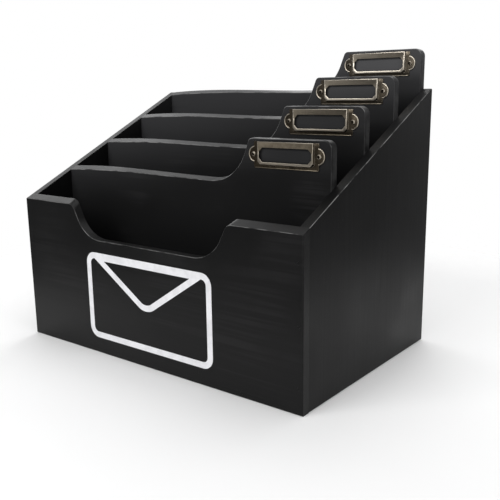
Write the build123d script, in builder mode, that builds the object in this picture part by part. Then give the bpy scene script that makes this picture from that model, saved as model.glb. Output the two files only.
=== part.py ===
"""Desk mail organizer: painted boards, four letter slots, tabbed dividers and brass label frames.

Millimetres. X runs to the right, Y to the back, Z up. The origin is the middle of the footprint,
on the surface that the organizer stands on.
"""
from build123d import *
import math
import os

# Carcass
width = 280.0
depth = 180.0
board = 7.0
base_board = 6.0
front_height = 118.9
slope_angle = 25.7
rear_corner_radius = 1.2
edge_ease = 0.8

# Scoop in the front panel, its width taken at the front edge of the sloped top
scoop_width = 158.0
scoop_depth = 26.0
scoop_side_angle = 63.0
scoop_corner_radius = 28.0
scoop_lip_radius = 6.0

# Waved top edge and raised tab of a divider; next to the tab the edge is planed flatter than the slope
wave_crest_inset = 47.0
wave_crest_rise = 1.6
wave_valley_rise = 0.8
wave_start_slope = 0.06
valley_bevel = 17.0
flare_angle = 68.0
tab_rise = 32.9
tab_flank_rise = 11.4
tab_inner_radius = 3.5
tab_outer_radius = 6.0

# Place of the label frame on its tab: wood left above it, right of it and at the left corner
holder_drop = 2.1
tab_margin = 4.8
corner_margin = 0.3

# Stamped label frame, built up from the window that shows the card
sheet = 0.6
window_width = 43.0
window_height = 10.0
window_corner = 2.8
window_bevel = 0.4
top_bar = 4.0
bottom_bar = 2.6
side_bar = 2.0
frame_depth = 2.1
frame_taper = 6.0
frame_ease = 0.35
pocket_wall = 1.2
flange_lip = 3.15
flange_foot = 1.7
flange_corner = 1.0
ear_radius = 5.7
ear_offset = 2.0
ear_lift = 0.45
ear_rim_width = 0.9
ear_rim_height = 0.4

# Label screws
screw_offset = 1.3
screw_head_diameter = 3.6
screw_head_height = 1.1
screw_shank_diameter = 1.7
screw_length = 6.4
screw_tip = 1.6
recess_length = 2.0
recess_width = 0.5
recess_depth = 0.6
pilot_clearance = 0.05

# Brads that hold the boards together
brad_diameter = 1.2
brad_head_diameter = 2.0
brad_head_thickness = 0.8
brad_length = 20.0
brad_tip = 1.5
brad_tip_diameter = 0.6
brad_clearance = 0.05
brad_inset = 18.0
base_brad_inset = 50.0

# Places worked out from the sizes above
divider_names = ("front", "middle", "rear")
slot_count = len(divider_names) + 1
pitch = (depth - board) / slot_count
slot_gap = pitch - board
half_width = width / 2
half_depth = depth / 2
inner_half = half_width - board
front_inside = board - half_depth
divider_fronts = [front_inside + slot_gap + index * pitch for index in range(slot_count - 1)]
back_front = half_depth - board
slope_turn = math.radians(slope_angle)
slope_plane = Plane(
    origin=(0, -half_depth, front_height),
    x_dir=(1, 0, 0),
    z_dir=(0, -math.sin(slope_turn), math.cos(slope_turn)),
)
frame_width = window_width + 2 * side_bar
frame_height = top_bar + window_height + bottom_bar
flange_width = frame_width + 2 * flange_lip
flange_height = frame_height + flange_foot
ear_x = frame_width / 2 + ear_offset
ear_drop = flange_height / 2 - ear_lift
ear_reach = ear_x + ear_radius
screw_x = ear_x + screw_offset
holder_inset = ear_reach + tab_margin
tab_width = holder_inset + ear_reach + corner_margin
flare_turn = math.radians(flare_angle)
flare_radius = (tab_rise - wave_valley_rise - tab_flank_rise) / (1 - math.cos(flare_turn))
pilot_radius = screw_shank_diameter / 2 + pilot_clearance
brad_bore = brad_diameter / 2 + brad_clearance
brad_head_bore = brad_head_diameter / 2 + brad_clearance


def slope_height(y):
    """Height of the sloped top edges at the depth y."""
    return front_height + math.tan(slope_turn) * (y + half_depth)


def tab_top(front_y):
    """Height of the tab on the board whose front face is at front_y."""
    return slope_height(front_y) + tab_rise


def spread(inset, low, high, count):
    """Evenly spaced values between two ends, each end left free by the inset."""
    step = (high - low - 2 * inset) / (count - 1)
    return [low + inset + index * step for index in range(count)]


def out_of(direction, x, y, z):
    """Place on an outer face, with its own Z pointing out of the wood."""
    return Location(Plane(origin=(x, y, z), z_dir=direction))


def end_brads(side, front_y):
    """Brads through one side panel into the end of the board that starts at front_y."""
    heights = spread(brad_inset, base_board, slope_height(front_y), 2)
    return [out_of((side, 0, 0), side * half_width, front_y + board / 2, z) for z in heights]


def base_side_brads(side):
    """Brads through one side panel into the edge of the base."""
    places = spread(base_brad_inset, -half_depth, half_depth, 2)
    return [out_of((side, 0, 0), side * half_width, y, base_board / 2) for y in places]


def side_brads(side):
    """All brads of one side panel."""
    places = base_side_brads(side)
    for front_y in divider_fronts + [back_front]:
        places += end_brads(side, front_y)
    return places


def front_side_brads(side):
    """Brads through the front panel into the front end of one side panel."""
    heights = spread(brad_inset, 0, front_height, 3)
    return [out_of((0, -1, 0), side * (half_width - board / 2), -half_depth, z) for z in heights]


def base_brads(facing):
    """Brads through the front (facing -1) or back (facing 1) panel into the edge of the base."""
    places = spread(base_brad_inset, -half_width, half_width, 3)
    return [out_of((0, facing, 0), x, facing * half_depth, base_board / 2) for x in places]


front_brads = front_side_brads(-1) + front_side_brads(1) + base_brads(-1)


def brads(places):
    """Small-headed brads, driven flush at the given places."""
    with BuildPart() as group:
        with Locations(*places):
            Cylinder(
                brad_head_diameter / 2,
                brad_head_thickness,
                align=(Align.CENTER, Align.CENTER, Align.MAX),
            )
            Cylinder(
                brad_diameter / 2,
                brad_length - brad_tip,
                align=(Align.CENTER, Align.CENTER, Align.MAX),
            )
        with Locations(*[place * Location((0, 0, brad_tip - brad_length)) for place in places]):
            Cone(
                brad_tip_diameter / 2,
                brad_diameter / 2,
                brad_tip,
                align=(Align.CENTER, Align.CENTER, Align.MAX),
            )
    return group.part


def side_panel(side):
    """Side board with its sloped top and rounded rear corner."""
    with BuildPart() as panel:
        with BuildSketch(Plane.YZ.offset(side * (half_width - board / 2))):
            with BuildLine():
                Polyline(
                    (front_inside, 0),
                    (half_depth, 0),
                    (half_depth, slope_height(half_depth)),
                    (front_inside, slope_height(front_inside)),
                    close=True,
                )
            make_face()
            fillet(vertices().sort_by(Axis.Y)[-1], rear_corner_radius)
        extrude(amount=board / 2, both=True)
        outer_face = faces().sort_by(Axis.X)[-1 if side > 0 else 0]
        fillet(outer_face.edges().sort_by(Axis.Y)[1:], edge_ease)
        with Locations(*side_brads(side)):
            CounterBoreHole(brad_bore, brad_head_bore, brad_head_thickness, board)
        with Locations(*front_side_brads(side)):
            Hole(brad_bore, brad_length)
    return panel.part


def board_outline(base_z, left_z, valley_z, top_z):
    """Outline of a tabbed board on one face: waved edge, concave flare and rounded tab."""
    tab_left = inner_half - tab_width
    flare_top = valley_z + flare_radius * (1 - math.cos(flare_turn))
    flare_left = tab_left - (top_z - flare_top) / math.tan(flare_turn)
    flare_start = flare_left - flare_radius * math.sin(flare_turn)
    crest_share = wave_crest_inset / (flare_start + inner_half)
    crest_z = left_z + (valley_z - left_z) * crest_share + wave_crest_rise
    with BuildSketch() as outline:
        with BuildLine():
            Spline(
                (-inner_half, left_z),
                (wave_crest_inset - inner_half, crest_z),
                (flare_start, valley_z),
                tangents=((1, wave_start_slope), (1, 0)),
            )
            flare = JernArc((flare_start, valley_z), (1, 0), flare_radius, flare_angle)
            Polyline(
                flare @ 1,
                (tab_left, top_z),
                (inner_half, top_z),
                (inner_half, base_z),
                (-inner_half, base_z),
                (-inner_half, left_z),
            )
        make_face()
        tab_corners = vertices().group_by(Axis.Y)[-1].sort_by(Axis.X)
        fillet(tab_corners[0], tab_inner_radius)
        fillet(vertices().group_by(Axis.Y)[-1].sort_by(Axis.X)[-1], tab_outer_radius)
    return outline.sketch


def tabbed_board(front_y, base_z):
    """Divider or back board: its low edge follows the slope, its tab stands square."""
    rear_y = front_y + board
    front_valley = slope_height(front_y) + wave_valley_rise
    rear_valley = front_valley + board * math.tan(math.radians(valley_bevel))
    with BuildPart() as tabbed:
        with BuildSketch(Plane.XZ.offset(-front_y)):
            add(board_outline(base_z, slope_height(front_y), front_valley, tab_top(front_y)))
        with BuildSketch(Plane.XZ.offset(-rear_y)):
            add(board_outline(base_z, slope_height(rear_y), rear_valley, tab_top(front_y)))
        loft(ruled=True)
        for face in (faces().sort_by(Axis.Y)[0], faces().sort_by(Axis.Y)[-1]):
            hidden = face.edges().sort_by(Axis.Z)[:1] + face.edges().sort_by(Axis.X)[:1]
            fillet([edge for edge in face.edges() if edge not in hidden], edge_ease)
        with Locations(*screw_places(front_y)):
            Hole(pilot_radius, screw_length)
        with Locations(*(end_brads(-1, front_y) + end_brads(1, front_y))):
            Hole(brad_bore, brad_length)
    return tabbed.part


def holder_plane(front_y):
    """Plane on a tab's face at the top middle of its label frame: X right, Y up, Z out."""
    return Plane(
        origin=(inner_half - holder_inset, front_y, tab_top(front_y) - holder_drop),
        x_dir=(1, 0, 0),
        z_dir=(0, -1, 0),
    )


def screw_places(front_y):
    """The two screw places of a label frame, on the face of the wood."""
    frame = holder_plane(front_y).location
    return [frame * Location((side * screw_x, -ear_drop, 0)) for side in (-1, 1)]


def label_holder(front_y):
    """Stamped frame: flange with rimmed ears, raised pocket open at the top, bevelled window."""
    plane = holder_plane(front_y)
    ears = [(side * ear_x, -ear_drop) for side in (-1, 1)]
    hung = (Align.CENTER, Align.MAX)
    with BuildPart() as holder:
        with BuildSketch(plane):
            Rectangle(flange_width, flange_height, align=hung)
            fillet(vertices().group_by(Axis.Y)[0], flange_corner)
            with Locations(*ears):
                Circle(ear_radius)
        extrude(amount=sheet)
        with BuildSketch(plane):
            with Locations(*ears):
                Circle(ear_radius)
                Circle(ear_radius - ear_rim_width, mode=Mode.SUBTRACT)
            Rectangle(flange_width, flange_height, align=hung, mode=Mode.SUBTRACT)
        extrude(amount=sheet + ear_rim_height)
        with BuildSketch(plane):
            Rectangle(frame_width, 2 * frame_height)
        extrude(amount=frame_depth, taper=frame_taper)
        split(bisect_by=Plane(plane.origin, z_dir=(0, 0, 1)), keep=Keep.BOTTOM)
        with BuildSketch(plane):
            Rectangle(frame_width - 2 * pocket_wall, frame_height - pocket_wall, align=hung)
        extrude(amount=frame_depth - sheet, mode=Mode.SUBTRACT)
        with BuildSketch(plane):
            with Locations((0, -top_bar)):
                Rectangle(window_width, window_height, align=hung)
            chamfer(vertices(), window_corner)
        extrude(amount=frame_depth, mode=Mode.SUBTRACT)
        with Locations(*screw_places(front_y)):
            Hole(pilot_radius, sheet)
        chamfer(faces().sort_by(Axis.Y)[0].inner_wires()[0].edges(), window_bevel)
        fillet(faces().sort_by(Axis.Y)[0].outer_wire().edges(), frame_ease)
    return holder.part


def label_screws(front_y):
    """The two round-head screws of a label frame, with cross recesses."""
    places = screw_places(front_y)
    shank_radius = screw_shank_diameter / 2
    with BuildPart() as screws:
        for place in places:
            with BuildSketch(Plane(place.position)):
                with BuildLine():
                    dome = TangentArc(
                        (0, -sheet - screw_head_height),
                        (screw_head_diameter / 2, -sheet),
                        tangent=(1, 0),
                    )
                    Polyline(
                        dome @ 1,
                        (shank_radius, -sheet),
                        (shank_radius, screw_length - screw_tip),
                        (0, screw_length),
                        dome @ 0,
                    )
                make_face()
            revolve(axis=Axis(place.position, (0, 1, 0)))
        with Locations(*[place * Location((0, 0, sheet + screw_head_height)) for place in places]):
            Box(recess_length, recess_width, 2 * recess_depth, mode=Mode.SUBTRACT)
            Box(recess_width, recess_length, 2 * recess_depth, mode=Mode.SUBTRACT)
    return screws.part


# Front panel: scoop cut square through the board, top planed along the slope
with BuildPart() as front_panel:
    scoop_floor = front_height - scoop_depth
    panel_top = slope_height(front_inside)
    scoop_lean = 1 / math.tan(math.radians(scoop_side_angle))
    scoop_top = scoop_width / 2 + (panel_top - front_height) * scoop_lean
    scoop_foot = scoop_width / 2 - scoop_depth * scoop_lean
    with BuildSketch(Plane.XZ.offset(-front_inside)):
        with BuildLine():
            Polyline(
                (-half_width, 0),
                (half_width, 0),
                (half_width, panel_top),
                (scoop_top, panel_top),
                (scoop_foot, scoop_floor),
                (-scoop_foot, scoop_floor),
                (-scoop_top, panel_top),
                (-half_width, panel_top),
                close=True,
            )
        make_face()
        scoop_corners = vertices().filter_by_position(Axis.X, -scoop_top, scoop_top).sort_by(Axis.Y)
        fillet(scoop_corners[:2], scoop_corner_radius)
    extrude(amount=board)
    split(bisect_by=slope_plane, keep=Keep.BOTTOM)
    shoulders = faces().filter_by(slope_plane)
    lips = [face.edges().sort_by(lambda edge: abs(edge.center().X))[0] for face in shoulders]
    fillet(lips, scoop_lip_radius)
    end_faces = faces().sort_by(Axis.X)[0], faces().sort_by(Axis.X)[-1]
    end_tops = [face.edges().sort_by(Axis.Z)[-1] for face in end_faces]
    fillet(faces().sort_by(Axis.Y)[0].edges() + end_tops, edge_ease)
    with Locations(*front_brads):
        CounterBoreHole(brad_bore, brad_head_bore, brad_head_thickness, board)

# Base board, set in between the walls
with BuildPart() as bottom_panel:
    with BuildSketch():
        Rectangle(2 * inner_half, depth - 2 * board)
    extrude(amount=base_board)
    with Locations(*(base_brads(-1) + base_brads(1) + base_side_brads(-1) + base_side_brads(1))):
        Hole(brad_bore, brad_length)

# Back panel: a tabbed board down to the floor, with the base nailed to it
with BuildPart() as back_panel:
    add(tabbed_board(back_front, 0))
    with Locations(*base_brads(1)):
        CounterBoreHole(brad_bore, brad_head_bore, brad_head_thickness, board)

pieces = {
    "front_panel": front_panel.part,
    "left_side_panel": side_panel(-1),
    "right_side_panel": side_panel(1),
    "bottom_panel": bottom_panel.part,
    "back_panel": back_panel.part,
    "brads_front": brads(front_brads),
    "brads_back": brads(base_brads(1)),
    "brads_left": brads(side_brads(-1)),
    "brads_right": brads(side_brads(1)),
}
for name, front_y in zip(divider_names, divider_fronts):
    pieces[f"divider_{name}"] = tabbed_board(front_y, base_board)
for name, front_y in zip(divider_names + ("back",), divider_fronts + [back_front]):
    pieces[f"label_holder_{name}"] = label_holder(front_y)
    pieces[f"label_screws_{name}"] = label_screws(front_y)

os.makedirs("parts", exist_ok=True)
for name, piece in pieces.items():
    piece.label = name
    export_step(piece, f"parts/{name}.step")
    print(name, round(piece.volume, 1), "mm3")
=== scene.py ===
"""Looks of the desk mail organizer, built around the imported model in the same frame, in metres.

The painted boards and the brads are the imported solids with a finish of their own. The stamped label
frames and their screws are modelled here in finer form, and a plain envelope outline marks the front.
"""
import logging
import math
from collections.abc import Callable, Sequence
from dataclasses import dataclass
from enum import Enum

import bmesh
import bpy
from mathutils import Matrix, Vector


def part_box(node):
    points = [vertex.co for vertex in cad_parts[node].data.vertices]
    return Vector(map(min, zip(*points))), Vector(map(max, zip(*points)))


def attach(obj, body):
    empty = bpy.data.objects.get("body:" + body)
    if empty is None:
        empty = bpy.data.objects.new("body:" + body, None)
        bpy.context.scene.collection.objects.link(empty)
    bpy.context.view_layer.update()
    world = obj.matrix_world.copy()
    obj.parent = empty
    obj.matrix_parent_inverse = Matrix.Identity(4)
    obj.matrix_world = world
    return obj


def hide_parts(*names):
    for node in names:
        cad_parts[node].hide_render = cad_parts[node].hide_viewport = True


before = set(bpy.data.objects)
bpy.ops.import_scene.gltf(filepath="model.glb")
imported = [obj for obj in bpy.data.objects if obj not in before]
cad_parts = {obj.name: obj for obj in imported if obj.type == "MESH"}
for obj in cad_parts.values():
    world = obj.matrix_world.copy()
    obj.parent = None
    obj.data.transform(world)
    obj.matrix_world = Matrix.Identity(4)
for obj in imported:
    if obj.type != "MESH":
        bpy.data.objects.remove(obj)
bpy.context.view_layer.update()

LOG = logging.getLogger("mail_organizer")
BODY = "root"
TAB_NAMES = ("front", "middle", "rear", "back")

Colour = tuple[float, float, float, float]
Place = tuple[float, float, float]
Span = tuple[float, float]
Choice = Callable[[Vector, Vector], bool]
Socket = bpy.types.NodeSocket

RIGHTWARD: Place = (1.0, 0.0, 0.0)
FRONTWARD: Place = (0.0, -1.0, 0.0)
UPWARD: Place = (0.0, 0.0, 1.0)
# Least cosine at which a face or an edge counts as lying along an axis
SQUARE = 0.9


def grey(level: float, blue: float) -> Colour:
    """Neutral colour with its own share of blue."""
    return (level, level, blue, 1.0)


class Grain(Enum):
    """Axis along which the fibres of a board run; the value is the axis' index."""

    ACROSS = 0
    UPRIGHT = 2


class Join(Enum):
    """How one solid is combined with another; the value is the modifier's own word."""

    ADD = "UNION"
    CUT = "DIFFERENCE"


class Wear(Enum):
    """How far the patina is rubbed off the brass; the value is the material's name."""

    AGED = "antique_brass_aged"
    WORN = "antique_brass_worn"
    RUBBED = "antique_brass_rubbed"


class NodeGraph:
    """A node tree, written one node at a time."""

    def __init__(self, tree: bpy.types.NodeTree) -> None:
        """Takes the tree that the nodes are added to."""
        self.tree = tree

    def feed(self, socket: Socket, value: object) -> None:
        """Links a socket to another, or sets its own value.

        Args:
            socket: Input that takes the value.
            value: An output socket, a number or a colour.
        """
        if isinstance(value, Socket):
            self.tree.links.new(value, socket)
        else:
            socket.default_value = value

    def node(self, kind: str, inputs: dict, **settings: object) -> bpy.types.Node:
        """Adds one node.

        Args:
            kind: Node type.
            inputs: Value or socket for each input, by its name or index.
            settings: Properties of the node itself.

        Returns:
            The new node.
        """
        made = self.tree.nodes.new(kind)
        for key, value in settings.items():
            setattr(made, key, value)
        for key, value in inputs.items():
            self.feed(made.inputs[key], value)
        return made

    def along(self, vector: Socket, direction: Sequence[float]) -> Socket:
        """Measure of a vector along a direction."""
        made = self.node("ShaderNodeVectorMath", {0: vector, 1: direction}, operation="DOT_PRODUCT")
        return made.outputs["Value"]

    def size(self, value: Socket) -> Socket:
        """A value without its sign."""
        return self.node("ShaderNodeMath", {0: value}, operation="ABSOLUTE").outputs[0]

    def span(self, value: Socket, low: float, high: float, first: float = 0.0, last: float = 1.0) -> Socket:
        """Smooth step from one level to another.

        Args:
            value: What is measured.
            low: Measure at which the step starts.
            high: Measure at which it ends.
            first: Level before the step.
            last: Level after it.

        Returns:
            Value socket.
        """
        ends = {"From Min": low, "From Max": high, "To Min": first, "To Max": last}
        made = self.node("ShaderNodeMapRange", {"Value": value, **ends}, interpolation_type="SMOOTHSTEP")
        return made.outputs["Result"]

    def blend(self, factor: Socket, first: object, second: object) -> Socket:
        """Mix of two colours or colour sockets, by the share of the second."""
        return self.node("ShaderNodeMix", {0: factor, 6: first, 7: second}, data_type="RGBA").outputs[2]

    def combine(self, operation: str, first: object, second: object) -> Socket:
        """Sum, product or other combination of two values, by the math node's own word."""
        return self.node("ShaderNodeMath", {0: first, 1: second}, operation=operation).outputs[0]


class MaterialGraph(NodeGraph):
    """The node tree of one material, with the patterns and masks that the finishes share."""

    # Cosines against an axis between which the masks of edges, ends and faces fade
    edge_start: Span = (0.50, 0.64)
    edge_end: Span = (0.88, 0.97)
    edge_rise: Span = (0.10, 0.40)
    end_turn: Span = (0.02, 0.12)
    face_turn: Span = (0.80, 0.98)

    def __init__(self, name: str) -> None:
        """Starts a material with its surface shader.

        Args:
            name: Name of the material.
        """
        self.material = bpy.data.materials.new(name)
        self.material.use_nodes = True
        super().__init__(self.material.node_tree)
        self.shader = self.tree.nodes["Principled BSDF"]

    def surface(self, values: dict) -> bpy.types.Material:
        """Feeds the surface shader and closes the material.

        Args:
            values: Value or socket for each input of the shader.

        Returns:
            The finished material.
        """
        for key, value in values.items():
            self.feed(self.shader.inputs[key], value)
        return self.material

    def place(self, stretch: Sequence[float]) -> Socket:
        """Object coordinates, scaled along each axis to features per metre."""
        where = self.node("ShaderNodeTexCoord", {}).outputs["Object"]
        return self.node("ShaderNodeMapping", {"Vector": where, "Scale": stretch}).outputs["Vector"]

    def measure(self, direction: Sequence[float]) -> Socket:
        """Distance from the origin along a direction, in metres."""
        return self.along(self.place((1.0, 1.0, 1.0)), direction)

    def height(self, low: float, high: float, lean: float = 0.0) -> Socket:
        """Smooth rise between two heights, both higher by the lean for each metre to the right."""
        return self.span(self.measure((-lean, 0.0, 1.0)), low, high)

    def band(self, direction: Place, middle: float, half: float, soft: float) -> Socket:
        """Soft-edged band of one half width about one measure along a direction."""
        away = self.combine("SUBTRACT", self.measure(direction), middle)
        return self.span(self.size(away), half, half + soft, 1.0, 0.0)

    def noise(self, stretch: Sequence[float], detail: float, swirl: float = 0.0) -> Socket:
        """Cloudy pattern of about 0.3 to 0.7, by its features per metre, its octaves and its swirl."""
        inputs = {"Vector": self.place(stretch), "Scale": 1.0, "Detail": detail, "Distortion": swirl}
        return self.node("ShaderNodeTexNoise", inputs).outputs["Fac"]

    def bump(self, height: Socket, depth: float, under: Socket | None = None) -> Socket:
        """Relief in the shading.

        Args:
            height: Pattern of the relief.
            depth: Its depth in metres.
            under: Relief that this one lies on.

        Returns:
            Normal socket.
        """
        made = self.node("ShaderNodeBump", {"Height": height, "Strength": 1.0, "Distance": depth})
        if under is not None:
            self.feed(made.inputs["Normal"], under)
        return made.outputs["Normal"]

    def normal(self) -> Socket:
        """Normal of the surface."""
        return self.node("ShaderNodeNewGeometry", {}).outputs["Normal"]

    def facing(self, direction: Place) -> Socket:
        """Mask of the faces that look along a direction."""
        return self.span(self.along(self.normal(), direction), *self.face_turn)

    def eased_edges(self, axis: int, upright: float, ends: float) -> Socket:
        """Mask of the rounded edges of a board, where the surface turns away from the board's own axis; it
        carries rubbed paint and a painted highlight.

        Args:
            axis: Index of the axis across the board.
            upright: Level on the upright edges, lower than on the upper edges, which face the light.
            ends: Level on the cut ends, square to the board's face.

        Returns:
            Value socket, 1 on the rounded upper edges.
        """
        parts = self.node("ShaderNodeSeparateXYZ", {"Vector": self.normal()})
        turn = self.size(parts.outputs[axis])
        fade = self.span(turn, *self.edge_end, 1.0, 0.0)
        band = self.combine("MULTIPLY", self.span(turn, *self.edge_start), fade)
        rounded = self.combine("MULTIPLY", band, self.span(parts.outputs["Z"], *self.edge_rise, upright, 1.0))
        return self.combine("MAXIMUM", rounded, self.span(turn, *self.end_turn, ends, 0.0))


@dataclass(frozen=True)
class PaintedWood:
    """Satin black paint over a fine-grained board, rubbed along its edges with a painted highlight there, and
    lighter towards the top with painted light.
    """

    name: str
    deep: Colour
    worn: Colour
    # Colour of the paint on the upper parts: painted light
    lit_colour: Colour
    # Colour of the rubbed edges, bright enough to be a painted highlight there as well
    rubbed: Colour
    upright_edge_level: float
    streak_share: float
    gloss: float
    end_level: float = 0.0
    # Heights between which the paint turns to its lit colour, rising by the lean for each metre to the right:
    # painted light on the upper and left parts
    lit_start: float = 0.125
    lit_end: float = 0.215
    lit_lean: float = 0.0
    smooth: float = 0.32
    dull: float = 0.42
    # Features per metre along and across the grain
    fibres: Span = (9.0, 430.0)
    fibre_swirl: float = 0.3
    fibre_depth: float = 0.00003
    rings: Span = (4.0, 95.0)
    ring_swirl: float = 1.2
    ring_depth: float = 0.00006
    paint_grains: float = 1500.0
    paint_depth: float = 0.00003
    clouds_per_metre: float = 14.0
    cloud_range: Span = (0.35, 0.65)
    patch_range: Span = (0.46, 0.66)
    streak_range: Span = (0.20, 0.34)
    chips_per_metre: float = 90.0
    chip_range: Span = (0.34, 0.62)

    def material(self, grain: Grain, across: int) -> bpy.types.Material:
        """Material of a board whose fibres run along one axis.

        Args:
            grain: Direction of the fibres.
            across: Index of the axis across the board.

        Returns:
            The finished material.
        """
        graph = MaterialGraph(f"{self.name}_{grain.name.lower()}")
        fibres = graph.noise(self.stretch(grain, *self.fibres), detail=6.0, swirl=self.fibre_swirl)
        rings = graph.noise(self.stretch(grain, *self.rings), detail=3.0, swirl=self.ring_swirl)
        clouds = graph.noise((self.clouds_per_metre,) * 3, detail=5.0)
        chips = graph.noise((self.chips_per_metre,) * 3, detail=3.0)
        grit = graph.noise((self.paint_grains,) * 3, detail=2.0)
        # Rubbed edges with a painted highlight: brightest on edges that face up, broken by chips
        rubbed_and_lit_edges = graph.eased_edges(across, self.upright_edge_level, self.end_level)
        edge = graph.combine("MULTIPLY", rubbed_and_lit_edges, graph.span(chips, *self.chip_range))
        lines = graph.span(graph.combine("MULTIPLY", fibres, rings), *self.streak_range)
        patches = graph.span(clouds, *self.patch_range, 0.0, self.streak_share)
        streaks = graph.combine("MULTIPLY", lines, patches)
        # Painted light: the paint turns lighter towards the top
        lit_share = graph.height(self.lit_start, self.lit_end, self.lit_lean)
        paint = graph.blend(lit_share, self.deep, self.lit_colour)
        paint = self.painted_light(graph, graph.blend(streaks, paint, self.worn))
        relief = graph.bump(rings, self.ring_depth)
        relief = graph.bump(fibres, self.fibre_depth, relief)
        relief = graph.bump(grit, self.paint_depth, relief)
        return graph.surface({
            "Base Color": graph.blend(edge, paint, self.rubbed),
            "Roughness": graph.span(clouds, *self.cloud_range, self.smooth, self.dull),
            "Specular IOR Level": self.gloss,
            "Normal": relief,
        })

    def painted_light(self, graph: MaterialGraph, paint: Socket) -> Socket:
        """Paint with painted light on the tabs; on plain boards it stays as it is."""
        return paint

    @staticmethod
    def stretch(grain: Grain, along: float, across: float) -> list[float]:
        """Features per metre for each axis, with the fibres along the grain."""
        return [along if axis == grain.value else across for axis in range(3)]


@dataclass(frozen=True)
class TabbedWood(PaintedWood):
    """Paint of the tabbed boards, paler on the front of the tabs and behind the label windows: painted light.
    """

    # Colour and shares of the painted light on the tabs and in the windows
    pale: Colour = grey(0.100, 0.103)
    low_share: float = 0.12
    high_share: float = 0.80
    share_start: float = 0.185
    share_end: float = 0.235
    tab_part: float = 0.36
    tab_start: float = 0.024
    tab_end: float = 0.012
    side_fade: float = 0.0020
    foot_fade: float = 0.0014
    window_drop: float = 0.0005

    def painted_light(self, graph: MaterialGraph, paint: Socket) -> Socket:
        """Paint turned pale on the front of the tabs, most of all in the label windows, and more on the upper
        tabs: painted light.

        The label frames stand in a row that climbs towards the back, so one measure square to that row
        gives the height on every tab.

        Args:
            graph: The material's node tree.
            paint: Colour of the paint before the painted light.

        Returns:
            Colour socket.
        """
        low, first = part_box(f"label_holder_{TAB_NAMES[0]}")
        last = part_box(f"label_holder_{TAB_NAMES[-1]}")[1]
        slope = (last.z - first.z) / (last.y - first.y)
        climb = (0.0, -slope, 1.0)
        top = first.z - slope * first.y
        centre = top - LabelFrame.top_bar - LabelFrame.window_height / 2 - self.window_drop
        width = LabelFrame.window_width / 2 - self.side_fade
        height = LabelFrame.window_height / 2 - self.foot_fade
        window = graph.combine(
            "MULTIPLY",
            graph.band(RIGHTWARD, (low.x + first.x) / 2, width, self.side_fade),
            graph.band(climb, centre, height, self.foot_fade),
        )
        tab = graph.span(graph.measure(climb), top - self.tab_start, top - self.tab_end, 0.0, self.tab_part)
        share = graph.combine("MULTIPLY", graph.combine("MAXIMUM", window, tab), graph.facing(FRONTWARD))
        # Painted light grows from the lower tabs to the upper ones
        lit_by_height = graph.span(
            graph.measure(UPWARD), self.share_start, self.share_end, self.low_share, self.high_share
        )
        return graph.blend(graph.combine("MULTIPLY", share, lit_by_height), paint, self.pale)


@dataclass(frozen=True)
class AntiqueBrass:
    """Brass with a brown patina that is rubbed bright where fingers and cards touch it, and a painted
    reflection that brightens the higher frames.
    """

    patina: Colour = (0.029, 0.0230, 0.0160, 1.0)
    brown: Colour = (0.078, 0.063, 0.0440, 1.0)
    tan: Colour = (0.158, 0.132, 0.096, 1.0)
    metal: Colour = (0.268, 0.228, 0.170, 1.0)
    bright: Colour = (0.45, 0.400, 0.328, 1.0)
    # Colour and heights of the painted reflection on the higher frames
    reflection_colour: Colour = (0.80, 0.730, 0.620, 1.0)
    reflection_start: float = 0.160
    reflection_end: float = 0.222
    aged_reflection: float = 0.04
    worn_reflection: float = 0.26
    rubbed_reflection: float = 0.70
    spots_per_metre: float = 170.0
    spot_swirl: float = 0.6
    even_spots: Span = (0.30, 0.70)
    wide_spots: Span = (0.15, 0.55)
    dull: float = 0.48
    smooth: float = 0.32
    scratch_along: float = 60.0
    scratch_across: float = 2600.0
    scratch_depth: float = 0.000004

    def material(self, wear: Wear) -> bpy.types.Material:
        """Material of one grade of wear, made once.

        Args:
            wear: How far the patina is rubbed off.

        Returns:
            The finished material.
        """
        if wear.value in bpy.data.materials:
            return bpy.data.materials[wear.value]
        first, last, spread, reflection_share = {
            Wear.AGED: (self.patina, self.brown, self.even_spots, self.aged_reflection),
            Wear.WORN: (self.tan, self.metal, self.even_spots, self.worn_reflection),
            Wear.RUBBED: (self.metal, self.bright, self.wide_spots, self.rubbed_reflection),
        }[wear]
        graph = MaterialGraph(wear.value)
        spots = graph.noise((self.spots_per_metre,) * 3, detail=5.0, swirl=self.spot_swirl)
        scratches = graph.noise((self.scratch_along, self.scratch_across, self.scratch_across), detail=2.0)
        # Painted reflection: the brass turns brighter on the higher frames
        painted_light = graph.combine("MULTIPLY", graph.height(self.reflection_start, self.reflection_end), reflection_share)
        colour = graph.blend(graph.span(spots, *spread), first, last)
        return graph.surface({
            "Base Color": graph.blend(painted_light, colour, self.reflection_colour),
            "Metallic": 1.0,
            "Roughness": graph.span(spots, *spread, self.dull, self.smooth),
            "Normal": graph.bump(scratches, self.scratch_depth),
        })


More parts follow.
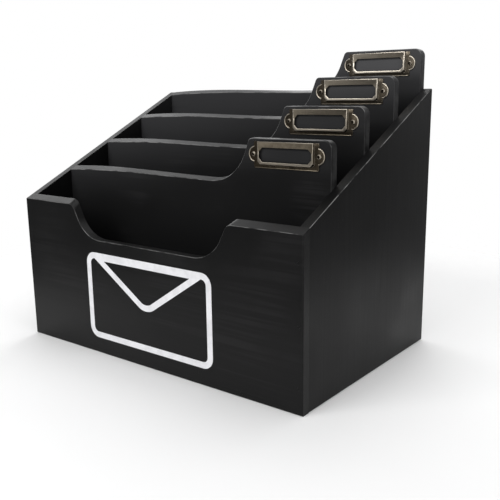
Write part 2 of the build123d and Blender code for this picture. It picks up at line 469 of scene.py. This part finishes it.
@dataclass(frozen=True)
class ScrewBrass:
    """Antique brass of the screw heads, with black painted shade in and round the recess."""

    metal: Colour = (0.200, 0.175, 0.140, 1.0)
    bright: Colour = (0.420, 0.375, 0.310, 1.0)
    # Black of the painted shade in and round the recess
    recess_shade: Colour = (0.012, 0.009, 0.006, 1.0)
    spots_per_metre: float = 900.0
    spot_swirl: float = 0.4
    head_spots: Span = (0.35, 0.60)
    shade_spots: Span = (0.55, 0.80)
    dull: float = 0.52
    smooth: float = 0.40
    pit_depth: float = 0.00001

    def material(self, recess: bool) -> bpy.types.Material:
        """Material of the head or of the painted shade in and round its recess.

        Args:
            recess: Whether it is the painted shade in and round the recess.

        Returns:
            The finished material.
        """
        graph = MaterialGraph("screw_recess" if recess else "screw_brass")
        spots = graph.noise((self.spots_per_metre,) * 3, detail=4.0, swirl=self.spot_swirl)
        spread = self.shade_spots if recess else self.head_spots
        ends = (self.recess_shade, self.metal) if recess else (self.metal, self.bright)
        return graph.surface({
            "Base Color": graph.blend(graph.span(spots, *spread), *ends),
            "Metallic": 1.0,
            "Roughness": graph.span(spots, *self.head_spots, self.dull, self.smooth),
            "Normal": graph.bump(spots, self.pit_depth),
        })


@dataclass(frozen=True)
class WhiteVinyl:
    """Matt white film with a faint mottle."""

    pale: Colour = grey(0.69, 0.71)
    white: Colour = grey(0.77, 0.79)
    mottle_per_metre: float = 160.0
    mottle_range: Span = (0.35, 0.65)
    smooth: float = 0.45
    dull: float = 0.60
    peel_per_metre: float = 900.0
    peel_depth: float = 0.00002

    def material(self) -> bpy.types.Material:
        """Material of the film.

        Returns:
            The finished material.
        """
        graph = MaterialGraph("white_vinyl")
        mottle = graph.noise((self.mottle_per_metre,) * 3, detail=4.0)
        peel = graph.noise((self.peel_per_metre,) * 3, detail=2.0)
        return graph.surface({
            "Base Color": graph.blend(graph.span(mottle, *self.mottle_range), self.pale, self.white),
            "Roughness": graph.span(mottle, *self.mottle_range, self.smooth, self.dull),
            "Normal": graph.bump(peel, self.peel_depth),
        })


class Solid:
    """One mesh object, shaped with Blender's own operators."""

    def __init__(self, name: str) -> None:
        """Takes the primitive that was just added.

        Args:
            name: Name of the object and of its mesh.
        """
        self.object = bpy.context.object
        self.rename(name)
        bpy.ops.object.transform_apply(location=True, rotation=True, scale=True)

    @staticmethod
    def clear() -> None:
        """Deselects everything, because an operator acts on all that is selected."""
        bpy.ops.object.select_all(action="DESELECT")

    @classmethod
    def box(cls, name: str, low: Sequence[float], high: Sequence[float]) -> "Solid":
        """A block between two corners.

        Args:
            name: Name of the object.
            low: Lowest corner.
            high: Highest corner.

        Returns:
            The block.
        """
        cls.clear()
        bpy.ops.mesh.primitive_cube_add(size=1.0, location=(Vector(low) + Vector(high)) / 2)
        bpy.context.object.scale = Vector(high) - Vector(low)
        return cls(name)

    @classmethod
    def disc(cls, name: str, centre: Sequence[float], radius: float, thickness: float, sides: int) -> "Solid":
        """A flat cylinder whose axis points to the front.

        Args:
            name: Name of the object.
            centre: Its middle.
            radius: Its radius.
            thickness: Its thickness.
            sides: Number of flats round it.

        Returns:
            The cylinder.
        """
        cls.clear()
        bpy.ops.mesh.primitive_cylinder_add(
            vertices=sides, radius=radius, depth=thickness, location=centre, rotation=(math.pi / 2, 0.0, 0.0)
        )
        return cls(name)

    def edit(self, kind: str, wanted: Choice) -> None:
        """Opens the mesh for editing with some of its elements selected.

        Args:
            kind: VERT, EDGE or FACE.
            wanted: Test of an element's middle and of its normal or direction.
        """
        self.activate()
        bpy.ops.object.mode_set(mode="EDIT")
        bpy.ops.mesh.select_mode(type=kind)
        bpy.ops.mesh.select_all(action="DESELECT")
        mesh = bmesh.from_edit_mesh(self.object.data)
        if kind == "FACE":
            for face in mesh.faces:
                face.select_set(wanted(face.calc_center_median(), face.normal))
        elif kind == "EDGE":
            for edge in mesh.edges:
                first, last = (vert.co for vert in edge.verts)
                edge.select_set(wanted((first + last) / 2, (last - first).normalized()))
        else:
            for vert in mesh.verts:
                vert.select_set(wanted(vert.co, vert.normal))
        mesh.select_flush_mode()
        bmesh.update_edit_mesh(self.object.data)

    def close(self) -> None:
        """Leaves edit mode."""
        bpy.ops.object.mode_set(mode="OBJECT")

    def activate(self) -> None:
        """Makes this the one selected and active object."""
        self.clear()
        self.object.select_set(True)
        bpy.context.view_layer.objects.active = self.object

    def modify(self, kind: str, **settings: object) -> None:
        """Adds a modifier and applies it.

        Args:
            kind: Type of the modifier.
            settings: Its properties.
        """
        self.activate()
        bpy.ops.object.modifier_add(type=kind)
        modifier = self.object.modifiers[-1]
        for key, value in settings.items():
            setattr(modifier, key, value)
        bpy.ops.object.modifier_apply(modifier=modifier.name)

    def join(self, other: "Solid", how: Join) -> None:
        """Adds or cuts away another solid, which is used up."""
        self.modify("BOOLEAN", operation=how.value, object=other.object, solver="EXACT")
        bpy.data.objects.remove(other.object)

    def join_mesh(self, other: "Solid") -> None:
        """Takes another mesh into this object, as it is.

        Args:
            other: The object that is taken in.
        """
        self.activate()
        other.object.select_set(True)
        bpy.ops.object.join()

    def round_off(self, kind: str, wanted: Choice, width: float, steps: int) -> None:
        """Rounds or chamfers chosen edges, or chosen corners of a flat sheet.

        Args:
            kind: EDGE or VERT.
            wanted: Test of an edge's middle and direction, or of a corner's place and normal.
            width: Width of the rounding.
            steps: Number of flats across it.
        """
        self.edit(kind, wanted)
        bpy.ops.mesh.bevel(offset=width, segments=steps, affect="EDGES" if kind == "EDGE" else "VERTICES")
        self.close()

    def dress(self, materials: Sequence[bpy.types.Material]) -> None:
        """Gives the solid its materials.

        Args:
            materials: Materials in the order of the mesh's slots.
        """
        self.object.data.materials.clear()
        for material in materials:
            self.object.data.materials.append(material)

    def paint(self, slot: int, wanted: Choice) -> None:
        """Gives chosen faces another material.

        Args:
            slot: Index of the material's slot.
            wanted: Test of a face's middle and normal.
        """
        self.edit("FACE", wanted)
        self.object.active_material_index = slot
        bpy.ops.object.material_slot_assign()
        self.close()

    def smooth(self, sharp_angle: float) -> None:
        """Shades the solid smoothly, apart from edges that turn by more than an angle in degrees."""
        self.activate()
        bpy.ops.object.shade_smooth_by_angle(angle=math.radians(sharp_angle))

    def rename(self, name: str) -> None:
        """Names the object and its mesh."""
        self.object.name = name
        self.object.data.name = name

    def seat(self, node: str, slot: str) -> None:
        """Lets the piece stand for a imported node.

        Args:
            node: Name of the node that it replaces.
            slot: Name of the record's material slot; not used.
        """
        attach(self.object, BODY)
        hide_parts(node)
        LOG.info("%s stands for %s", self.object.name, node)

    def copy(self, name: str, shift: Vector) -> "Solid":
        """A copy with its own mesh, moved by a shift.

        Args:
            name: Name of the copy.
            shift: How far it is moved.

        Returns:
            The copy.
        """
        self.activate()
        bpy.ops.object.duplicate()
        bpy.context.object.location = shift
        return Solid(name)


@dataclass
class Carcass:
    """The painted boards and the brads that hold them."""

    front: PaintedWood = PaintedWood(
        name="black_front",
        deep=grey(0.0028, 0.0029),
        worn=grey(0.0090, 0.0093),
        lit_colour=grey(0.0042, 0.0043),
        rubbed=grey(0.130, 0.128),
        upright_edge_level=0.0,
        streak_share=0.7,
        gloss=0.18,
        lit_start=0.075,
        lit_end=0.115,
    )
    sides: PaintedWood = PaintedWood(
        name="black_sides",
        deep=grey(0.0026, 0.0027),
        worn=grey(0.0065, 0.0067),
        lit_colour=grey(0.0115, 0.0118),
        rubbed=grey(0.190, 0.187),
        upright_edge_level=0.0,
        streak_share=0.5,
        gloss=0.13,
        lit_start=0.150,
        lit_end=0.205,
    )
    # The dividers and the back get a lighter copy of the same black paint: painted light on the inner boards
    inner: TabbedWood = TabbedWood(
        name="black_inner_lit",
        deep=grey(0.0076, 0.0078),
        worn=grey(0.0280, 0.0288),
        lit_colour=grey(0.0340, 0.0355),
        rubbed=grey(0.170, 0.168),
        upright_edge_level=0.15,
        end_level=0.12,
        streak_share=0.3,
        gloss=0.10,
        lit_lean=0.25,
    )
    brads: PaintedWood = PaintedWood(
        name="black_brads",
        deep=grey(0.0045, 0.0047),
        worn=grey(0.0060, 0.0062),
        lit_colour=grey(0.0060, 0.0062),
        rubbed=grey(0.0050, 0.0052),
        upright_edge_level=0.0,
        streak_share=0.5,
        gloss=0.15,
    )

    def dress(self) -> None:
        """Paints every board and the flush brad heads."""
        inner = [f"divider_{name}" for name in TAB_NAMES[:-1]] + ["back_panel"]
        self.paint(["front_panel", "bottom_panel"], self.front.material(Grain.ACROSS, 1))
        self.paint(["left_side_panel", "right_side_panel"], self.sides.material(Grain.UPRIGHT, 0))
        self.paint(inner, self.inner.material(Grain.ACROSS, 1))
        self.paint(["brads_front", "brads_back"], self.brads.material(Grain.ACROSS, 1))
        self.paint(["brads_left", "brads_right"], self.brads.material(Grain.UPRIGHT, 0))

    @staticmethod
    def paint(names: Sequence[str], material: bpy.types.Material) -> None:
        """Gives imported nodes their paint.

        Args:
            names: Names of the nodes.
            material: The paint.
        """
        for name in names:
            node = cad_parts[name]
            node.data.materials.clear()
            node.data.materials.append(material)
            LOG.info("%s painted with %s", name, material.name)


@dataclass
class LabelFrame:
    """Stamped brass frame: flange with beaded ears, raised pocket open at the top, cut-cornered window."""

    sheet: float = 0.0006
    window_width: float = 0.043
    window_height: float = 0.010
    window_corner: float = 0.0028
    top_bar: float = 0.0040
    bottom_bar: float = 0.0026
    side_bar: float = 0.0020
    bottom_rim: float = 0.0015
    side_rim: float = 0.0012
    depth: float = 0.0021
    wall: float = 0.0012
    corner_cut: float = 0.0019
    rim: float = 0.00055
    groove: float = 0.00025
    flange_lip: float = 0.00315
    flange_foot: float = 0.0017
    flange_corner: float = 0.0010
    flange_steps: int = 4
    ear_radius: float = 0.0057
    ear_offset: float = 0.0020
    ear_lift: float = 0.00045
    ear_sides: int = 64
    bead_radius: float = 0.00042
    bead_inset: float = 0.000462
    bead_rings: int = 72
    bead_sides: int = 12
    roll_radius: float = 0.00030
    roll_ease: float = 0.00024
    roll_sides: int = 16
    roll_steps: int = 3
    edge_rub: float = 0.00020
    rub_steps: int = 2
    rub_angle: float = 28.0
    sharp_angle: float = 35.0
    round_angle: float = 60.0
    weld: float = 0.000001
    grades: tuple[Wear, ...] = (Wear.AGED, Wear.RUBBED, Wear.WORN)
    brass: AntiqueBrass = AntiqueBrass()

    @property
    def width(self) -> float:
        """Width of the raised frame."""
        return self.window_width + 2 * self.side_bar

    @property
    def height(self) -> float:
        """Height of the raised frame."""
        return self.top_bar + self.window_height + self.bottom_bar

    @property
    def face_half(self) -> float:
        """Half the width of the raised frame's front face."""
        return self.window_width / 2 + self.side_rim

    @property
    def flange_half(self) -> float:
        """Half the width of the flange."""
        return self.width / 2 + self.flange_lip

    @property
    def flange_height(self) -> float:
        """Height of the flange."""
        return self.height + self.flange_foot

    @property
    def top(self) -> Vector:
        """Top middle of the first label frame, on the wood."""
        low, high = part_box(f"label_holder_{TAB_NAMES[0]}")
        return Vector(((low.x + high.x) / 2, high.y, high.z))

    def hung(self, name: str, half: float, rear: float, front: float, drop: float, foot: float) -> Solid:
        """Block of one half width, between two distances from the wood and two drops below the top."""
        low = self.top + Vector((-half, -front, -foot))
        return Solid.box(name, low, self.top + Vector((half, -rear, -drop)))

    def flange(self) -> Solid:
        """Flat plate with its two ears.

        Returns:
            The plate.
        """
        plate = self.hung("flange", self.flange_half, 0.0, self.sheet, 0.0, self.flange_height)
        middle = self.top.z - self.flange_height / 2
        plate.round_off(
            "EDGE",
            lambda mid, along: abs(along.y) > SQUARE and mid.z < middle,
            self.flange_corner,
            self.flange_steps,
        )
        for side in (-1, 1):
            centre = self.ear_centre(side) - Vector((0, self.sheet / 2, 0))
            plate.join(Solid.disc("ear", centre, self.ear_radius, self.sheet, self.ear_sides), Join.ADD)
        return plate

    def ear_centre(self, side: int) -> Vector:
        """Middle of the left ear (-1) or of the right ear (1), on the wood."""
        out = side * (self.width / 2 + self.ear_offset)
        return self.top + Vector((out, 0.0, self.ear_lift - self.flange_height / 2))

    def bead(self, side: int) -> Solid:
        """Raised bead along the outer edge of one ear.

        Args:
            side: -1 for the left ear, 1 for the right.

        Returns:
            The bead, cut off where the flange begins.
        """
        border = self.top.x + side * (self.flange_half - self.bead_radius)
        Solid.clear()
        bpy.ops.mesh.primitive_torus_add(
            location=self.ear_centre(side) - Vector((0, self.sheet, 0)),
            rotation=(math.pi / 2, 0.0, 0.0),
            major_segments=self.bead_rings,
            minor_segments=self.bead_sides,
            major_radius=self.ear_radius - self.bead_inset,
            minor_radius=self.bead_radius,
        )
        ring = Solid("bead")
        ring.edit("FACE", lambda mid, normal: True)
        bpy.ops.mesh.bisect(
            plane_co=(border, 0.0, 0.0), plane_no=(side, 0.0, 0.0), use_fill=True, clear_inner=True
        )
        ring.close()
        ring.dress([self.brass.material(Wear.RUBBED)])
        ring.smooth(self.round_angle)
        return ring

    def lower_roll(self) -> Solid:
        """Thin roll along the lower edge of the flange.

        Returns:
            The roll, with rounded ends.
        """
        Solid.clear()
        bpy.ops.mesh.primitive_cylinder_add(
            vertices=self.roll_sides,
            radius=self.roll_radius,
            depth=2 * (self.flange_half - self.flange_corner),
            location=self.top - Vector((0.0, self.sheet, self.flange_height - self.roll_radius)),
            rotation=(0.0, math.pi / 2, 0.0),
        )
        roll = Solid("lower_roll")
        roll.round_off("EDGE", lambda mid, along: abs(along.x) < 1 - SQUARE, self.roll_ease, self.roll_steps)
        roll.dress([self.brass.material(Wear.WORN)])
        roll.smooth(self.round_angle)
        return roll

    def pocket(self) -> Solid:
        """Raised frame with sloping walls and its lower corners cut across.

        Returns:
            The raised frame, before it is hollowed and the window is cut.
        """
        top = self.top
        raised = self.hung("raised_frame", self.width / 2, 0.0, self.depth, 0.0, self.height)
        face_height = self.height - self.bottom_bar + self.bottom_rim
        raised.edit("FACE", lambda mid, normal: normal.y < -SQUARE)
        bpy.ops.transform.resize(
            value=(2 * self.face_half / self.width, 1.0, face_height / self.height),
            center_override=(top.x, top.y - self.depth, top.z),
        )
        raised.close()
        middle = top.z - self.height / 2
        slanted = math.cos(math.radians(45))
        raised.round_off(
            "EDGE", lambda mid, along: abs(along.y) > slanted and mid.z < middle, self.corner_cut, 1
        )
        return raised

    def hollow(self) -> Solid:
        """Cutter of the space for the card, open at the top.

        Returns:
            The cutter.
        """
        half = self.width / 2 - self.wall
        roof = self.depth - self.sheet
        return self.hung("hollow", half, -self.sheet, roof, -self.sheet, self.height - self.wall)

    def window(self) -> Solid:
        """Cutter in the form of the window, with its corners cut across.

        Returns:
            The cutter.
        """
        foot = self.top_bar + self.window_height
        block = self.hung("window", self.window_width / 2, -self.sheet, 2 * self.depth, self.top_bar, foot)
        block.round_off("EDGE", lambda mid, along: abs(along.y) > SQUARE, self.window_corner, 1)
        return block

    def channel(self) -> Solid:
        """Cutter of the shallow channel in the top bar and round the upper corners of the window.

        Returns:
            The cutter.
        """
        floor = self.depth - self.groove
        foot = self.top_bar + self.window_corner
        return self.hung("channel", self.face_half - self.rim, floor, 2 * self.depth, self.rim, foot)

    def finish(self, holder: Solid) -> None:
        """Dresses the stamped sheet: worn in the channel, rubbed bright on its face and edges.

        Args:
            holder: The stamped sheet.
        """
        worn, rubbed = (self.grades.index(wear) for wear in (Wear.WORN, Wear.RUBBED))
        face = self.top.y - self.depth
        holder.dress([self.brass.material(wear) for wear in self.grades])
        holder.paint(worn, lambda mid, normal: mid.y < face + 1.5 * self.groove and normal.y < -SQUARE)
        holder.paint(rubbed, lambda mid, normal: mid.y < face + 0.5 * self.groove and normal.y < -SQUARE)
        holder.modify(
            "BEVEL",
            width=self.edge_rub,
            segments=self.rub_steps,
            limit_method="ANGLE",
            angle_limit=math.radians(self.rub_angle),
            material=rubbed,
        )
        holder.smooth(self.sharp_angle)

    def build(self) -> None:
        """Models the frame once and puts a copy on every tab."""
        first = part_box(f"label_holder_{TAB_NAMES[0]}")[1]
        holder = self.flange()
        holder.join(self.pocket(), Join.ADD)
        for cutter in (self.hollow, self.window, self.channel):
            holder.join(cutter(), Join.CUT)
        holder.modify("WELD", merge_threshold=self.weld)
        self.finish(holder)
        for side in (-1, 1):
            holder.join_mesh(self.bead(side))
        holder.join_mesh(self.lower_roll())
        for name in TAB_NAMES:
            node = f"label_holder_{name}"
            piece = holder.copy(f"stamped_frame_{name}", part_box(node)[1] - first)
            piece.seat(node, "antique_brass")
        bpy.data.objects.remove(holder.object)


@dataclass
class LabelScrews:
    """Round-head brass screws with a cross recess, two in each label frame."""

    head_radius: float = 0.0018
    head_height: float = 0.0011
    head_edge: float = 0.0001
    rings: int = 5
    sides: int = 40
    shank_radius: float = 0.00085
    shank_length: float = 0.0048
    tip_length: float = 0.0016
    tip_share: float = 0.1
    recess_length: float = 0.0020
    recess_width: float = 0.00055
    recess_depth: float = 0.0006
    shade_radius: float = 0.0010
    sharp_angle: float = 40.0
    turns: tuple[float, ...] = (12.0, 38.0, 71.0, 25.0, 57.0, 4.0, 80.0, 47.0)
    brass: ScrewBrass = ScrewBrass()

    def screw(self, seat: Vector, turn: float) -> Solid:
        """One screw: a domed head grown ring by ring, its shank and tip, and the recess.

        Args:
            seat: Middle of the head's underside.
            turn: Turn of the recess, in degrees.

        Returns:
            The screw.
        """
        screw = Solid.disc("screw", seat, self.head_radius, self.head_edge, self.sides)
        self.grow(screw, -1, self.dome())
        self.grow(screw, 1, self.shaft())
        for quarter in (0.0, 90.0):
            screw.join(self.slot(seat, turn + quarter), Join.CUT)
        return screw

    def dome(self) -> list[tuple[float, float]]:
        """Steps of the domed head, ring by ring.

        Returns:
            Rise of each ring and its radius relative to the ring before.
        """
        angles = [math.pi / 2 * step / self.rings for step in range(self.rings + 1)]
        steps = []
        for low, high in zip(angles[:-1], angles[1:-1]):
            rise = self.head_height * (math.sin(high) - math.sin(low))
            steps.append((rise, math.cos(high) / math.cos(low)))
        return steps

    def shaft(self) -> list[tuple[float, float]]:
        """Steps of the shank and tip, in the same form as the dome's."""
        neck = self.shank_radius / self.head_radius
        return [(0.0, neck), (self.shank_length, 1.0), (self.tip_length, self.tip_share)]

    @staticmethod
    def grow(screw: Solid, way: int, steps: Sequence[tuple[float, float]]) -> None:
        """Extrudes one end face of the screw step by step.

        Args:
            screw: The screw so far.
            way: -1 for the face at the front, 1 for the face at the back.
            steps: Length of each step and the scale of the face after it.
        """
        screw.edit("FACE", lambda mid, normal: normal.y * way > SQUARE)
        for length, scale in steps:
            bpy.ops.mesh.extrude_region_move(TRANSFORM_OT_translate={"value": (0.0, way * length, 0.0)})
            bpy.ops.transform.resize(value=(scale, 1.0, scale))
        screw.close()

    def slot(self, seat: Vector, turn: float) -> Solid:
        """Cutter of one arm of the cross recess.

        Args:
            seat: Middle of the head's underside.
            turn: Turn of the arm, in degrees.

        Returns:
            The cutter.
        """
        half = Vector((self.recess_length / 2, self.head_height, self.recess_width / 2))
        middle = seat - Vector((0.0, 2 * self.head_height - self.recess_depth, 0.0))
        arm = Solid.box("recess", middle - half, middle + half)
        arm.edit("FACE", lambda mid, normal: True)
        bpy.ops.transform.rotate(value=math.radians(turn), orient_axis="Y", center_override=middle)
        arm.close()
        return arm

    def in_painted_shade(self, middle: Vector, seats: Sequence[Vector]) -> bool:
        """Whether a face lies in the recess of a screw head or close round it, where shade is painted."""
        near = [math.hypot(middle.x - seat.x, middle.z - seat.z) < self.shade_radius for seat in seats]
        return any(near) and middle.y < seats[0].y

    def build(self) -> None:
        """Models the screws of every label frame."""
        materials = [self.brass.material(False), self.brass.material(True)]
        turns = iter(self.turns)
        for name in TAB_NAMES:
            node = f"label_screws_{name}"
            low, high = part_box(node)
            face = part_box(f"label_holder_{name}")[1].y - LabelFrame.sheet
            height = (low.z + high.z) / 2
            seats = [Vector((x, face, height)) for x in (low.x + self.head_radius, high.x - self.head_radius)]
            piece, other = (self.screw(seat, next(turns)) for seat in seats)
            piece.join_mesh(other)
            piece.rename(f"screw_pair_{name}")
            piece.dress(materials)
            # Painted shade: the recess and the dome round it turn black
            piece.paint(1, lambda mid, normal: self.in_painted_shade(mid, seats))
            piece.smooth(self.sharp_angle)
            piece.seat(node, "screw_brass")


@dataclass
class FrontMark:
    """Plain envelope outline of white film on the front panel."""

    width: float = 0.130
    height: float = 0.070
    centre_height: float = 0.048
    line: float = 0.0048
    corner: float = 0.009
    corner_steps: int = 8
    film: float = 0.00015
    sunk: float = 0.00005
    flap_inset: float = 0.0040
    flap_drop: float = 0.0012
    flap_reach: float = 0.040
    sharp_angle: float = 30.0
    finish: WhiteVinyl = WhiteVinyl()

    @staticmethod
    def sheet(name: str, width: float, height: float, middle: Vector) -> Solid:
        """Flat sheet that faces the front.

        Args:
            name: Name of the sheet.
            width: Its width.
            height: Its height.
            middle: Its middle.

        Returns:
            The sheet.
        """
        Solid.clear()
        bpy.ops.mesh.primitive_plane_add(size=1.0, location=middle, rotation=(math.pi / 2, 0.0, 0.0))
        bpy.context.object.scale = (width, height, 1.0)
        return Solid(name)

    def outline(self, sheet: Solid) -> None:
        """Keeps only a line along the sheet's border and gives it the film's thickness.

        Args:
            sheet: The sheet.
        """
        sheet.edit("FACE", lambda mid, normal: True)
        bpy.ops.mesh.inset(thickness=self.line)
        bpy.ops.mesh.delete(type="FACE")
        sheet.close()
        sheet.modify("SOLIDIFY", thickness=self.film + self.sunk, offset=-1.0)

    def flap(self, middle: Vector) -> Solid:
        """Outline of the envelope's flap, a triangle with a rounded tip.

        Args:
            middle: Middle of the envelope on the film's face.

        Returns:
            The outline.
        """
        top = middle.z + self.height / 2 - self.flap_drop
        centre = Vector((middle.x, middle.y, top - self.flap_reach / 2))
        flap = self.sheet("flap", self.width - 2 * self.flap_inset, self.flap_reach, centre)
        flap.edit("VERT", lambda spot, normal: spot.z < centre.z)
        bpy.ops.mesh.merge(type="CENTER")
        flap.close()
        flap.round_off("VERT", lambda spot, normal: spot.z < centre.z, self.corner, self.corner_steps)
        self.outline(flap)
        return flap

    def build(self) -> None:
        """Models the envelope and sets it on the front panel."""
        low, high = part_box("front_panel")
        middle = Vector(((low.x + high.x) / 2, low.y - self.film, self.centre_height))
        body = self.sheet("envelope_mark", self.width, self.height, middle)
        body.round_off("VERT", lambda spot, normal: True, self.corner, self.corner_steps)
        self.outline(body)
        body.join(self.flap(middle), Join.ADD)
        body.dress([self.finish.material()])
        body.smooth(self.sharp_angle)
        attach(body.object, BODY)
        LOG.info("%s set on front_panel", body.object.name)


@dataclass(frozen=True)
class SoftBox:
    """Rectangular studio lamp aimed at the object."""

    name: str
    place: Place
    width: float
    height: float
    glow: float
    aim: Place = (0.0, 0.0, 0.10)

    def hang(self) -> None:
        """Adds the lamp to the scene."""
        data = bpy.data.lights.new(self.name, "AREA")
        data.shape = "RECTANGLE"
        data.size = self.width
        data.size_y = self.height
        data.energy = self.glow * math.pi * self.width * self.height
        lamp = bpy.data.objects.new(self.name, data)
        bpy.context.scene.collection.objects.link(lamp)
        lamp.location = self.place
        lamp.rotation_euler = (Vector(self.aim) - Vector(self.place)).to_track_quat("-Z", "Y").to_euler()
        lamp.visible_camera = False


@dataclass(frozen=True)
class Viewpoint:
    """Camera at the photograph's viewing angle; the image is taken to be square."""

    azimuth: float = 37.929
    elevation: float = 12.610
    roll: float = -0.710
    target: Place = (0.02882, 0.0, 0.07898)
    distance: float = 0.5664
    nearest: float = 0.01
    focal_pixels: float = 698.7
    image_pixels: float = 500.0
    sensor: float = 36.0

    def level(self) -> Vector:
        """Level direction from the target towards the camera's side."""
        turn = math.radians(self.azimuth)
        return Vector((math.sin(turn), -math.cos(turn), 0.0))

    def back(self) -> Vector:
        """Direction from the target to the camera."""
        rise = math.radians(self.elevation)
        return math.cos(rise) * self.level() + Vector((0.0, 0.0, math.sin(rise)))

    def set_up(self) -> None:
        """Adds the camera and makes it the scene's own."""
        data = bpy.data.cameras.new("camera")
        data.sensor_width = self.sensor
        data.lens = self.focal_pixels * self.sensor / self.image_pixels
        data.clip_start = self.nearest
        camera = bpy.data.objects.new("camera", data)
        bpy.context.scene.collection.objects.link(camera)
        back = self.back()
        right = Vector(UPWARD).cross(self.level())
        upright = Matrix((right, back.cross(right), back)).transposed().to_4x4()
        rolled = upright @ Matrix.Rotation(math.radians(self.roll), 4, "Z")
        camera.matrix_world = Matrix.Translation(Vector(self.target) + self.distance * back) @ rolled
        bpy.context.scene.camera = camera


@dataclass
class Studio:
    """Pale floor, white backdrop in a grey room, and soft lamps."""

    floor_radius: float = 0.46
    floor_middle: Place = (-0.03, 0.06, -0.0002)
    floor_sides: int = 128
    fade_start: float = 0.26
    floor_colour: Colour = grey(0.90, 0.90)
    floor_roughness: float = 0.9
    floor_gloss: float = 0.1
    room: Colour = grey(0.16, 0.162)
    backdrop: Colour = grey(1.0, 1.0)
    backdrop_inner: float = 38.0
    backdrop_outer: float = 60.0
    ground_shallow: float = 18.0
    ground_steep: float = 30.0
    view: Viewpoint = Viewpoint()
    lamps: tuple[SoftBox, ...] = (
        SoftBox("top_softbox", place=(0.25, 0.20, 1.20), width=1.5, height=1.2, glow=1.40),
        SoftBox("left_softbox", place=(-1.10, 0.40, 0.80), width=0.7, height=0.7, glow=1.5),
        SoftBox("front_softbox", place=(-0.30, -1.20, 0.95), width=1.0, height=0.8, glow=4.9),
        SoftBox("right_softbox", place=(1.35, -0.10, 0.85), width=0.8, height=0.8, glow=1.6),
        SoftBox("rear_softbox", place=(-0.45, 1.25, 0.80), width=0.9, height=0.8, glow=2.6),
    )

    def set_up(self) -> None:
        """Builds the floor, the backdrop, the lamps and the camera."""
        bpy.context.scene.view_settings.view_transform = "Standard"
        self.lay_floor()
        self.light_room()
        for lamp in self.lamps:
            lamp.hang()
        self.view.set_up()
        LOG.info("studio ready")

    def lay_floor(self) -> None:
        """Pale disc under the object that fades into the backdrop."""
        Solid.clear()
        bpy.ops.mesh.primitive_circle_add(
            vertices=self.floor_sides, radius=self.floor_radius, fill_type="NGON", location=self.floor_middle
        )
        floor = bpy.context.object
        floor.name = "floor"
        graph = MaterialGraph("pale_floor")
        where = graph.place((1.0, 1.0, 0.0))
        away = graph.node("ShaderNodeVectorMath", {0: where}, operation="LENGTH").outputs["Value"]
        floor.data.materials.append(graph.surface({
            "Base Color": self.floor_colour,
            "Roughness": self.floor_roughness,
            "Specular IOR Level": self.floor_gloss,
            "Alpha": graph.span(away, self.fade_start, self.floor_radius, 1.0, 0.0),
        }))

    def light_room(self) -> None:
        """Grey room, white behind the object, behind the camera and on the ground past the floor."""
        world = bpy.data.worlds.new("room")
        world.use_nodes = True
        bpy.context.scene.world = world
        graph = NodeGraph(world.node_tree)
        way = graph.node("ShaderNodeTexCoord", {}).outputs["Generated"]
        outer, inner = (math.cos(math.radians(turn)) for turn in (self.backdrop_outer, self.backdrop_inner))
        behind = graph.span(graph.size(graph.along(way, self.view.level())), outer, inner)
        shallow, steep = (-math.sin(math.radians(dip)) for dip in (self.ground_shallow, self.ground_steep))
        ground = graph.span(graph.along(way, UPWARD), shallow, steep)
        pale = graph.combine("MAXIMUM", behind, ground)
        background = world.node_tree.nodes["Background"]
        graph.feed(background.inputs["Color"], graph.blend(pale, self.room, self.backdrop))


def main() -> None:
    """Builds the set and the object, piece by piece."""
    logging.basicConfig(level=logging.INFO, format="%(name)s: %(message)s")
    Studio().set_up()
    Carcass().dress()
    LabelFrame().build()
    LabelScrews().build()
    FrontMark().build()


if __name__ == "__main__":
    main()
